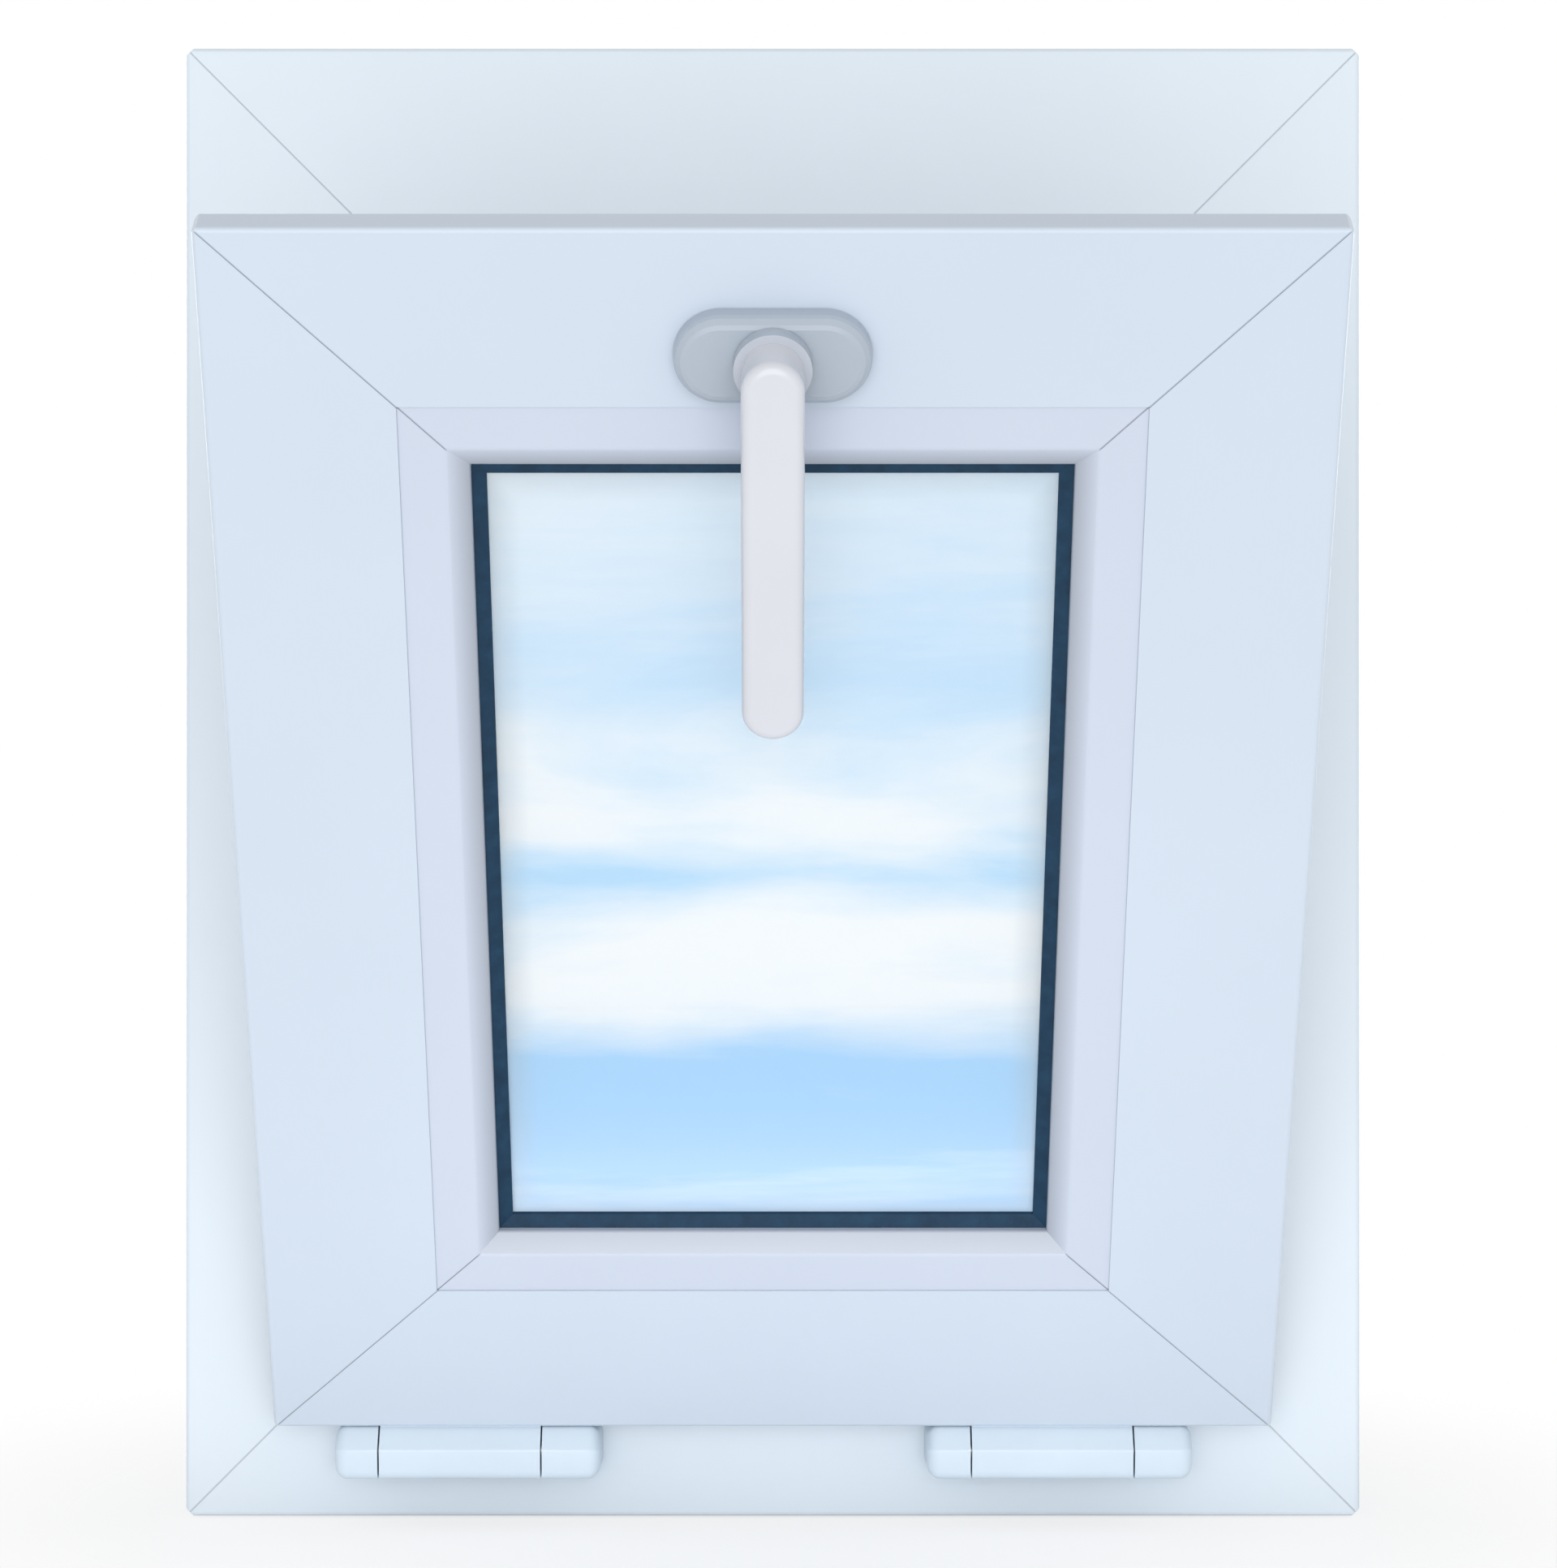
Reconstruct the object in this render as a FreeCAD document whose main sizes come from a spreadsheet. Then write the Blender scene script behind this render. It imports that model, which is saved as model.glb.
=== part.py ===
import FreeCAD, Part
import math
import os
import re
import Sketcher

# Bottom-hung hopper window in white plastic profile, in millimetres.
# X runs along the sill, +Y points outdoors, +Z up. The origin is the middle of the frame's underside.
# The sash is drawn closed, about its hinge axis, and then tilted into the room.

SIZES = {
    # overall frame
    "frame_width": 400.0,
    "frame_height": 500.0,
    "frame_depth": 60.0,
    # frame profile
    "frame_leg": 62.0,
    "upstand_reach": 20.0,
    "upstand_thick": 19.0,
    "upstand_slope": 4.0,
    "edge_radius": 1.5,
    "channel_width": 9.0,
    "channel_depth": 4.0,
    "channel_offset": 15.0,
    "frame_nick": 2.7,
    "weld_groove": 0.35,
    # sash profile
    "sash_inset": 32.5,
    "sash_lift": 2.0,
    "sash_depth": 53.0,
    "lip_thick": 12.0,
    "seal_gap": 4.0,
    "rebate_gap": 12.0,
    "bead_line": 56.7,
    "leaf_thick": 18.5,
    "leaf_slope": 5.0,
    "groove_width": 10.0,
    "groove_depth": 5.0,
    "groove_setback": 20.0,
    "sash_nick": 1.4,
    # glazing
    "bead_width": 21.0,
    "bead_recess": 0.6,
    "bead_flat": 14.0,
    "bead_fall": 4.0,
    "bead_round": 2.5,
    "pane_thick": 4.0,
    "pane_cavity": 14.0,
    "pane_clearance": 5.0,
    "gasket_thick": 3.0,
    "gasket_show": 4.4,
    "gasket_seat": 8.0,
    "spacer_inset": 4.0,
    "spacer_height": 6.5,
    # seals between sash and frame
    "seal_width": 5.5,
    "seal_setback": 4.0,
    "seal_clearance": 0.3,
    # hinges
    "tilt": 30.0,
    "hinge_standoff": 16.0,
    "hinge_drop": 9.6,
    "hinge_setback": 68.0,
    "hinge_shift": -5.6,
    "knuckle_length": 54.0,
    "cap_short": 14.5,
    "cap_long": 19.5,
    "knuckle_gap": 0.6,
    "knuckle_radius": 8.8,
    "knuckle_crease": 1.2,
    "cap_round": 3.0,
    "cap_bevel": 1.0,
    "hinge_plate": 2.0,
    "pin_radius": 2.5,
    "pin_clearance": 0.05,
    "pin_cover": 4.0,
    "flange_width": 9.0,
    # handle
    "handle_drop": 39.0,
    "rose_width": 58.0,
    "rose_height": 28.0,
    "rose_thick": 8.0,
    "rose_bevel": 2.6,
    "rose_soft": 0.8,
    "collar_radius": 11.5,
    "collar_thick": 5.0,
    "collar_gap": 0.3,
    "neck_setback": 0.32,
    "boss_radius": 8.0,
    "boss_depth": 5.0,
    "lever_width": 18.5,
    "lever_length": 114.0,
    "lever_thick": 9.0,
    "lever_rise": 20.0,
    "lever_crest": 26.0,
    "lever_tip": 21.0,
    "lever_bend": 46.0,
    "lever_bow": 110.0,
    "lever_soft": 3.2,
    # lock along the top edge of the sash
    "faceplate_setback": 21.0,
    "faceplate_width": 16.0,
    "faceplate_thick": 2.0,
    "cam_radius": 4.5,
    "cam_height": 4.5,
    "cam_travel": 16.0,
    "cam_clearance": 0.5,
    "striker_length": 36.0,
    "striker_width": 18.0,
    "striker_base": 2.0,
    "striker_wall": 4.0,
    "striker_thick": 5.5,
    "striker_setback": 16.0,
    # stay arms at both sides
    "stay_height": 200.0,
    "stay_length": 150.0,
    "stay_width": 12.0,
    "stay_thick": 2.5,
    "stay_bracket_length": 46.0,
    "stay_bracket_width": 14.0,
    "stay_bracket_thick": 3.0,
    "stay_pin_radius": 3.0,
    "stay_head_radius": 5.0,
    "stay_head_thick": 1.5,
    "stay_stud_radius": 4.0,
    "stay_stud_gap": 1.0,
    # holes for fixing the frame into a wall, and drain slots
    "fixing_radius": 4.0,
    "fixing_setback": 100.0,
    "drain_length": 30.0,
    "drain_height": 5.0,
    "drain_depth": 8.0,
    "drain_setback": 110.0,
    "drain_rise": 20.0,
}

# Places worked out from the sizes.
FRAME_HALF = "frame_width / 2"
ROOM_FACE = "-frame_depth / 2"
FRAME_FACE_WIDTH = "(frame_leg + upstand_reach)"
AXIS_Y = "(-frame_depth / 2 - hinge_standoff)"
AXIS_Z = "(sash_inset + sash_lift - hinge_drop)"
# The sash's own frame starts on the hinge axis.
SASH_HALF = "(frame_width / 2 - sash_inset)"
SASH_LOW = "hinge_drop"
SASH_HIGH = "(hinge_drop + frame_height - 2 * sash_inset)"
SASH_FACE = "(hinge_standoff - lip_thick - seal_gap)"
LIP_LENGTH = "(frame_leg - sash_inset + rebate_gap)"
SIGHT_LINE = "(bead_line + bead_width)"
UNIT_THICK = "(2 * pane_thick + pane_cavity)"
PANE_OUTSIDE = "(sash_depth - leaf_thick - gasket_thick)"
PANE_INSIDE = f"({PANE_OUTSIDE} - {UNIT_THICK})"
PANE_EDGE = "(bead_line + pane_clearance)"
GROOVE_CENTRE = "(lip_thick + groove_setback)"
GROOVE_Y = f"({SASH_FACE} + {GROOVE_CENTRE})"
RAIL_EDGE = f"({SASH_HIGH} - {LIP_LENGTH})"
HANDLE_Z = f"({SASH_HIGH} - handle_drop)"
# The faces of the frame's opening, and the groove's place there once the sash is closed.
JAMB_X = "(frame_width / 2 - frame_leg)"
HEAD_FACE = "(frame_height - frame_leg)"
CLOSED_GROOVE_Y = f"({AXIS_Y} + {GROOVE_Y})"

doc = FreeCAD.newDocument("hopper_window")
sheet = doc.addObject("Spreadsheet::Sheet", "Sizes")
for row, (alias, value) in enumerate(SIZES.items(), start=1):
    sheet.set(f"A{row}", alias)
    sheet.set(f"B{row}", str(value))
    sheet.setAlias(f"B{row}", alias)
doc.recompute()

sub_parts = []
# How far a cut runs past what it cuts, and how close two measures are to count as one.
MARGIN = 5.0
TINY = 1e-6


def bound(text):
    """An expression on plain size names, as the document writes it."""

    def cell(found):
        word = found[0]
        return f"Sizes.{word}" if word in SIZES else word

    return re.sub(r"[a-z_]+", cell, text)


def worth(text):
    """The present value of an expression on size names."""
    return float(sheet.evalExpression(bound(text)))


def new_body(label):
    """An empty sub-part."""
    body = doc.addObject("PartDesign::Body", label)
    body.Label = label
    sub_parts.append(body)
    return body


def place(body, x, y, z):
    """Puts a sub-part's own origin at a point given by expressions."""
    for axis, text in zip("xyz", (x, y, z)):
        body.setExpression(f"Placement.Base.{axis}", bound(text))


def lean(body, angle):
    """Turns a sub-part about the X axis through its own origin."""
    body.Placement.Rotation = FreeCAD.Rotation(FreeCAD.Vector(1, 0, 0), 1)
    body.setExpression("Placement.Rotation.Angle", bound(angle))


def hang_on_sash(body):
    """Tilts a sub-part that was drawn on the closed sash about the hinge axis."""
    lean(body, "tilt")
    place(body, "0", AXIS_Y, AXIS_Z)


def new_sketch(body, name, plane, offset="0"):
    """A sketch on one of the body's own origin planes, moved along that plane's normal."""
    sketch = body.newObject("Sketcher::SketchObject", f"{body.Name}_{name}")
    support = [item for item in body.Origin.OriginFeatures if item.Role == plane][0]
    sketch.AttachmentSupport = [(support, "")]
    sketch.MapMode = "FlatFace"
    sketch.setExpression("AttachmentOffset.Base.z", bound(offset))
    return sketch


def pin_point(sketch, geometry, corner):
    """Holds a point at a place given by two expressions."""
    for kind, text in zip(("DistanceX", "DistanceY"), corner):
        index = sketch.addConstraint(Sketcher.Constraint(kind, -1, 1, geometry, 1, worth(text)))
        sketch.setExpression(f"Constraints[{index}]", bound(text))


def draw_outline(sketch, corners):
    """A closed outline through corners (u, v) or, rounded, (u, v, radius), all given as expressions."""
    count = len(corners)
    points = [FreeCAD.Vector(worth(corner[0]), worth(corner[1]), 0) for corner in corners]
    starts, ends, turns = [], [], []
    for i, corner in enumerate(corners):
        before = (points[i - 1] - points[i]).normalize()
        after = (points[(i + 1) % count] - points[i]).normalize()
        trim = 0.0
        if len(corner) > 2:
            half_angle = before.getAngle(after) / 2
            trim = worth(corner[2]) / math.tan(half_angle)
        ends.append(points[i] + before * trim)
        starts.append(points[i] + after * trim)
        turns.append((before * -1).cross(after).z)
    lines = [
        sketch.addGeometry(Part.LineSegment(starts[i], ends[(i + 1) % count])) for i in range(count)
    ]
    for i, corner in enumerate(corners):
        into, out = lines[i - 1], lines[i]
        if len(corner) == 2:
            sketch.addConstraint(Sketcher.Constraint("Coincident", into, 2, out, 1))
            pin_point(sketch, out, corner)
            continue
        middle = (starts[i] + ends[i]) * 0.5
        # Seen from the tip, the rounding's centre lies beyond the middle of its two touching points.
        share = (ends[i] - points[i]).Length ** 2 / (middle - points[i]).Length ** 2
        centre = points[i] + (middle - points[i]) * share
        bulge = centre + (points[i] - centre).normalize() * worth(corner[2])
        arc = sketch.addGeometry(Part.Arc(ends[i], bulge, starts[i]))
        first, last = (1, 2) if turns[i] > 0 else (2, 1)
        tip = sketch.addGeometry(Part.Point(points[i]), True)
        pin_point(sketch, tip, corner)
        sketch.addConstraint(Sketcher.Constraint("PointOnObject", tip, 1, into))
        sketch.addConstraint(Sketcher.Constraint("PointOnObject", tip, 1, out))
        sketch.addConstraint(Sketcher.Constraint("Tangent", into, 2, arc, first))
        sketch.addConstraint(Sketcher.Constraint("Tangent", arc, last, out, 1))
        index = sketch.addConstraint(Sketcher.Constraint("Radius", arc, worth(corner[2])))
        sketch.setExpression(f"Constraints[{index}]", bound(corner[2]))


def draw_circle(sketch, centre, radius):
    """A circle about a centre given by two expressions."""
    middle = FreeCAD.Vector(worth(centre[0]), worth(centre[1]), 0)
    circle = sketch.addGeometry(Part.Circle(middle, FreeCAD.Vector(0, 0, 1), worth(radius)))
    for kind, text in zip(("DistanceX", "DistanceY"), centre):
        index = sketch.addConstraint(Sketcher.Constraint(kind, -1, 1, circle, 3, worth(text)))
        sketch.setExpression(f"Constraints[{index}]", bound(text))
    index = sketch.addConstraint(Sketcher.Constraint("Radius", circle, worth(radius)))
    sketch.setExpression(f"Constraints[{index}]", bound(radius))


def draw_slot(sketch, start, end, radius):
    """A round-ended slot between two centres on a level or upright line."""
    a, b = (FreeCAD.Vector(worth(u), worth(v), 0) for u, v in (start, end))
    r = worth(radius)
    along = (b - a).normalize()
    over = FreeCAD.Vector(-along.y, along.x, 0) * r
    sides = [
        sketch.addGeometry(Part.LineSegment(b + over, a + over)),
        sketch.addGeometry(Part.LineSegment(a - over, b - over)),
    ]
    caps = [
        sketch.addGeometry(Part.Arc(a + over, a - along * r, a - over)),
        sketch.addGeometry(Part.Arc(b - over, b + along * r, b + over)),
    ]
    for i, (cap, centre) in enumerate(zip(caps, (start, end))):
        sketch.addConstraint(Sketcher.Constraint("Tangent", sides[i], 2, cap, 1))
        sketch.addConstraint(Sketcher.Constraint("Tangent", cap, 2, sides[1 - i], 1))
        for kind, text in zip(("DistanceX", "DistanceY"), centre):
            index = sketch.addConstraint(Sketcher.Constraint(kind, -1, 1, cap, 3, worth(text)))
            sketch.setExpression(f"Constraints[{index}]", bound(text))
    index = sketch.addConstraint(Sketcher.Constraint("Radius", caps[0], r))
    sketch.setExpression(f"Constraints[{index}]", bound(radius))


def pad(body, sketch, length, side="Symmetric", backwards=False):
    """Grows the body out of the sketch."""
    feature = body.newObject("PartDesign::Pad", f"{sketch.Name}_pad")
    feature.Profile = sketch
    feature.SideType = side
    feature.Reversed = backwards
    feature.setExpression("Length", bound(length))
    sketch.Visibility = False
    doc.recompute()
    return feature


def pocket(body, sketch, length=None, side="Symmetric", backwards=False):
    """Cuts the sketch out of the body, right through unless a length is given."""
    before = body.Shape.Volume
    feature = body.newObject("PartDesign::Pocket", f"{sketch.Name}_cut")
    feature.Profile = sketch
    feature.SideType = side
    feature.Reversed = backwards
    if length is None:
        feature.Type = "ThroughAll"
    else:
        feature.setExpression("Length", bound(length))
    doc.recompute()
    if body.Shape.Volume > before - TINY:
        raise RuntimeError(f"{feature.Name} cuts nothing")
    return feature


def dress(body, kind, sizes, wanted):
    """A Fillet or Chamfer on the edges of the body's tip that the test picks."""
    tip = body.Tip
    names = [f"Edge{i}" for i, edge in enumerate(tip.Shape.Edges, start=1) if wanted(edge)]
    if not names:
        raise RuntimeError(f"no edge found on {body.Label}")
    feature = body.newObject(f"PartDesign::{kind}", f"{body.Name}_{kind}_{len(body.Group)}")
    feature.Base = (tip, names)
    for prop, text in sizes.items():
        feature.setExpression(prop, bound(text))
    doc.recompute()
    return feature


def corner_steps(steps, across, up, half, low, high, on_rail):
    """Places on a loop of steps inwards from one of its corners, along and across a member."""
    side = f"{half} - " if across > 0 else f"-({half}) + "
    level = f"{high} - " if up > 0 else f"{low} + "
    if not on_rail:
        steps = [(over, along) for along, over in steps]
    return [(f"{side}({sideways})", f"{level}({upright})") for sideways, upright in steps]


def member_ends(side):
    """The two corners of the loop, as signs (across, up), between which a member runs."""
    return {
        "bottom": [(-1, -1), (1, -1)],
        "top": [(-1, 1), (1, 1)],
        "left": [(-1, -1), (-1, 1)],
        "right": [(1, -1), (1, 1)],
    }[side]


def mitred_member(label, side, section, half, low, high, start_depth, reach, nick):
    """One member of a four-sided loop: a profile run along its side, both ends sawn at 45 degrees.
    The section's corners are (inwards from the outer edge, back from the room side[, radius])."""
    body = new_body(label)
    on_rail = side in ("bottom", "top")
    corners = []
    for inwards, back, *radius in section:
        depth = f"{start_depth} + {back}"
        if side == "bottom":
            corners.append((depth, f"{low} + ({inwards})", *radius))
        elif side == "top":
            corners.append((depth, f"{high} - ({inwards})", *radius))
        elif side == "left":
            corners.append((f"-({half}) + ({inwards})", depth, *radius))
        else:
            corners.append((f"{half} - ({inwards})", depth, *radius))
    if on_rail:
        sketch = new_sketch(body, "section", "YZ_Plane")
        length = f"2 * ({half})"
    else:
        sketch = new_sketch(body, "section", "XY_Plane", f"({low} + {high}) / 2")
        length = f"{high} - ({low})"
    draw_outline(sketch, corners)
    pad(body, sketch, length)
    # The 45 degree saw cuts, with the tips trimmed square to them.
    outside, inside = f"-{MARGIN}", f"({reach} + {MARGIN})"
    sawn = [
        (f"({nick} + {MARGIN})", outside),
        (f"({nick} / 2)", f"({nick} / 2)"),
        (inside, inside),
        (outside, inside),
        (outside, outside),
    ]
    cut = new_sketch(body, "mitre", "XZ_Plane")
    for across, up in member_ends(side):
        draw_outline(cut, corner_steps(sawn, across, up, half, low, high, on_rail))
    pocket(body, cut)
    return body


def score_mitres(body, side, half, low, high, reach, depth, backwards=False):
    """A fine groove along both mitres, on the face at this depth."""
    line = [
        ("weld_groove", "0"),
        (f"{reach} + weld_groove", reach),
        (f"{reach} - weld_groove", reach),
        ("-weld_groove", "0"),
    ]
    groove = new_sketch(body, "score_back" if backwards else "score", "XZ_Plane", f"-({depth})")
    for across, up in member_ends(side):
        draw_outline(groove, corner_steps(line, across, up, half, low, high, side in ("bottom", "top")))
    pocket(body, groove, "weld_groove", "One side", backwards)


def ring(label, half, low, high, outer, inner, start_depth, thick):
    """A rectangular ring in the window's plane, between two insets from a loop's outer edge."""
    body = new_body(label)
    sketch = new_sketch(body, "loop", "XZ_Plane", f"-({start_depth}) - ({thick}) / 2")
    for inset in (outer, inner):
        left, right = f"-({half}) + {inset}", f"{half} - {inset}"
        bottom, top = f"{low} + {inset}", f"{high} - {inset}"
        draw_outline(sketch, [(left, bottom), (right, bottom), (right, top), (left, top)])
    pad(body, sketch, thick)
    return body


def sheet_of_glass(label, start_depth):
    """One pane of the glass unit."""
    body = new_body(label)
    sketch = new_sketch(body, "pane", "XZ_Plane", f"-({start_depth}) - pane_thick / 2")
    left, right = f"-({SASH_HALF}) + {PANE_EDGE}", f"{SASH_HALF} - {PANE_EDGE}"
    bottom, top = f"{SASH_LOW} + {PANE_EDGE}", f"{SASH_HIGH} - {PANE_EDGE}"
    draw_outline(sketch, [(left, bottom), (right, bottom), (right, top), (left, top)])
    pad(body, sketch, "pane_thick")
    hang_on_sash(body)
    return body


SIDES = {
    "bottom": ("frame_sill", "sash_bottom_rail", "bead_bottom", "bead_gasket_bottom"),
    "top": ("frame_head", "sash_top_rail", "bead_top", "bead_gasket_top"),
    "left": ("frame_jamb_left", "sash_stile_left", "bead_left", "bead_gasket_left"),
    "right": ("frame_jamb_right", "sash_stile_right", "bead_right", "bead_gasket_right"),
}

# Frame: an L of a broad leg and an outdoor upstand, with two shallow channels round the outer edge.
CHANNEL_NEAR = "(frame_depth / 2 - channel_offset - channel_width / 2)"
CHANNEL_FAR = "(frame_depth / 2 + channel_offset - channel_width / 2)"
frame_section = [
    ("0", "0", "edge_radius"),
    ("frame_leg", "0", "edge_radius"),
    ("frame_leg", "frame_depth - upstand_thick"),
    (FRAME_FACE_WIDTH, "frame_depth - upstand_thick"),
    (f"{FRAME_FACE_WIDTH} - upstand_slope", "frame_depth", "edge_radius"),
    ("0", "frame_depth", "edge_radius"),
    ("0", f"{CHANNEL_FAR} + channel_width"),
    ("channel_depth", f"{CHANNEL_FAR} + channel_width"),
    ("channel_depth", CHANNEL_FAR),
    ("0", CHANNEL_FAR),
    ("0", f"{CHANNEL_NEAR} + channel_width"),
    ("channel_depth", f"{CHANNEL_NEAR} + channel_width"),
    ("channel_depth", CHANNEL_NEAR),
    ("0", CHANNEL_NEAR),
]
frame = {}
for side, (label, *_) in SIDES.items():
    loop = (FRAME_HALF, "0", "frame_height")
    frame[side] = mitred_member(label, side, frame_section, *loop, ROOM_FACE, FRAME_FACE_WIDTH, "frame_nick")
    score_mitres(frame[side], side, *loop, FRAME_FACE_WIDTH, ROOM_FACE)
    score_mitres(frame[side], side, *loop, FRAME_FACE_WIDTH, "frame_depth / 2", True)

# Fixing holes through both jambs, and drain slots on the outdoor side of the sill.
for side, across in (("left", "-1"), ("right", "1")):
    holes = new_sketch(frame[side], "fixings", "YZ_Plane", f"{across} * (frame_width - frame_leg) / 2")
    for sign in ("-", "+"):
        level = f"frame_height / 2 {sign} (frame_height / 2 - fixing_setback)"
        draw_circle(holes, ("0", level), "fixing_radius")
    pocket(frame[side], holes)
slots = new_sketch(frame["bottom"], "drains", "XZ_Plane", "-frame_depth / 2")
for sign in ("-", "+"):
    middle = f"{sign}(frame_width / 2 - drain_setback)"
    straight = "(drain_length - drain_height) / 2"
    near, far = (f"{middle} {end} {straight}" for end in ("-", "+"))
    draw_slot(slots, (near, "drain_rise"), (far, "drain_rise"), "drain_height / 2")
pocket(frame["bottom"], slots, "drain_depth", "One side", True)

# Sash: a broad lip that laps over the frame, a hardware groove and a leaf that holds the glass outdoors.
sash_section = [
    ("0", "0", "edge_radius"),
    ("bead_line", "0"),
    ("bead_line", "sash_depth - leaf_thick"),
    (SIGHT_LINE, "sash_depth - leaf_thick"),
    (f"{SIGHT_LINE} - leaf_slope", "sash_depth", "edge_radius"),
    (LIP_LENGTH, "sash_depth"),
    (LIP_LENGTH, f"{GROOVE_CENTRE} + groove_width / 2"),
    (f"{LIP_LENGTH} + groove_depth", f"{GROOVE_CENTRE} + groove_width / 2"),
    (f"{LIP_LENGTH} + groove_depth", f"{GROOVE_CENTRE} - groove_width / 2"),
    (LIP_LENGTH, f"{GROOVE_CENTRE} - groove_width / 2"),
    (LIP_LENGTH, "lip_thick"),
    ("0", "lip_thick", "edge_radius"),
]
# Glazing bead: flush with the sash at its outer line and rounded down towards the glass.
bead_section = [
    ("bead_line", "bead_recess"),
    ("bead_line + bead_flat", "bead_recess", "bead_round"),
    (SIGHT_LINE, "bead_recess + bead_fall", "bead_round / 2"),
    (SIGHT_LINE, f"{PANE_INSIDE} - gasket_thick"),
    ("bead_line", f"{PANE_INSIDE} - gasket_thick"),
]
# Dark strip between bead and glass, with a sloping nose that shows.
GASKET_TOP = f"({PANE_INSIDE} - gasket_thick)"
gasket_section = [
    (f"{SIGHT_LINE} - gasket_seat", GASKET_TOP),
    (SIGHT_LINE, GASKET_TOP),
    (f"{SIGHT_LINE} + gasket_show", f"{PANE_INSIDE} - gasket_thick / 2"),
    (f"{SIGHT_LINE} + gasket_show", PANE_INSIDE),
    (f"{SIGHT_LINE} - gasket_seat", PANE_INSIDE),
]
for side, (_, sash_label, bead_label, gasket_label) in SIDES.items():
    loop = (SASH_HALF, SASH_LOW, SASH_HIGH)
    member = mitred_member(sash_label, side, sash_section, *loop, SASH_FACE, SIGHT_LINE, "sash_nick")
    score_mitres(member, side, *loop, SIGHT_LINE, SASH_FACE)
    score_mitres(member, side, *loop, SIGHT_LINE, f"{SASH_FACE} + sash_depth", True)
    hang_on_sash(member)
    bead = mitred_member(bead_label, side, bead_section, *loop, SASH_FACE, SIGHT_LINE, "sash_nick")
    score_mitres(bead, side, *loop, SIGHT_LINE, f"{SASH_FACE} + bead_recess")
    hang_on_sash(bead)
    strip_edge = f"({SIGHT_LINE} + gasket_show)"
    strip = mitred_member(gasket_label, side, gasket_section, *loop, SASH_FACE, strip_edge, "sash_nick")
    hang_on_sash(strip)

# Sealed glass unit.
sheet_of_glass("inner_pane", f"{SASH_FACE} + {PANE_INSIDE}")
sheet_of_glass("outer_pane", f"{SASH_FACE} + {PANE_OUTSIDE} - pane_thick")
loop = (SASH_HALF, SASH_LOW, SASH_HIGH)
spacer = ring(
    "spacer_bar",
    *loop,
    f"({PANE_EDGE} + spacer_inset)",
    f"({PANE_EDGE} + spacer_inset + spacer_height)",
    f"{SASH_FACE} + {PANE_INSIDE} + pane_thick",
    "pane_cavity",
)
hang_on_sash(spacer)
outer_gasket = ring(
    "outer_glazing_gasket",
    *loop,
    f"({SIGHT_LINE} - gasket_seat)",
    f"({SIGHT_LINE} + gasket_show / 2)",
    f"{SASH_FACE} + {PANE_OUTSIDE}",
    "gasket_thick",
)
hang_on_sash(outer_gasket)

# Weather seals: one on the back of the sash lip, one on the frame's upstand.
sash_seal = ring(
    "sash_seal",
    *loop,
    "seal_setback",
    "(seal_setback + seal_width)",
    f"{SASH_FACE} + lip_thick",
    "(seal_gap - seal_clearance)",
)
hang_on_sash(sash_seal)
ring(
    "frame_seal",
    FRAME_HALF,
    "0",
    "frame_height",
    f"({FRAME_FACE_WIDTH} - seal_width - edge_radius)",
    f"({FRAME_FACE_WIDTH} - edge_radius)",
    f"{ROOM_FACE} + frame_depth - upstand_thick - (seal_gap - seal_clearance)",
    "(seal_gap - seal_clearance)",
)

# Hinge: two end caps on a plate on the frame, a middle knuckle under the sash lip, one pin.
cap_outline = [
    ("hinge_standoff", "-knuckle_radius"),
    ("-knuckle_radius + knuckle_crease", "-knuckle_radius", "cap_round"),
    ("-knuckle_radius", "knuckle_crease", "knuckle_crease"),
    ("-knuckle_radius / 3", "knuckle_radius", "cap_round"),
    ("hinge_standoff", "knuckle_radius"),
]
knuckle_outline = [
    ("knuckle_radius / 2", "-knuckle_radius", "cap_round"),
    ("-knuckle_radius + knuckle_crease", "-knuckle_radius", "cap_round"),
    ("-knuckle_radius", "knuckle_crease", "knuckle_crease"),
    ("-knuckle_radius / 3", "knuckle_radius", "cap_round"),
    ("knuckle_radius / 2", "knuckle_radius", "cap_round"),
    ("knuckle_radius", "0", "knuckle_radius / 2"),
]


def tilted(y, z):
    """Where a point on the tilted sash lies, measured from the hinge axis."""
    cosine, sine = "cos(tilt * 1 deg)", "sin(tilt * 1 deg)"
    return f"({y}) * {cosine} - ({z}) * {sine}", f"({y}) * {sine} + ({z}) * {cosine}"


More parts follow.
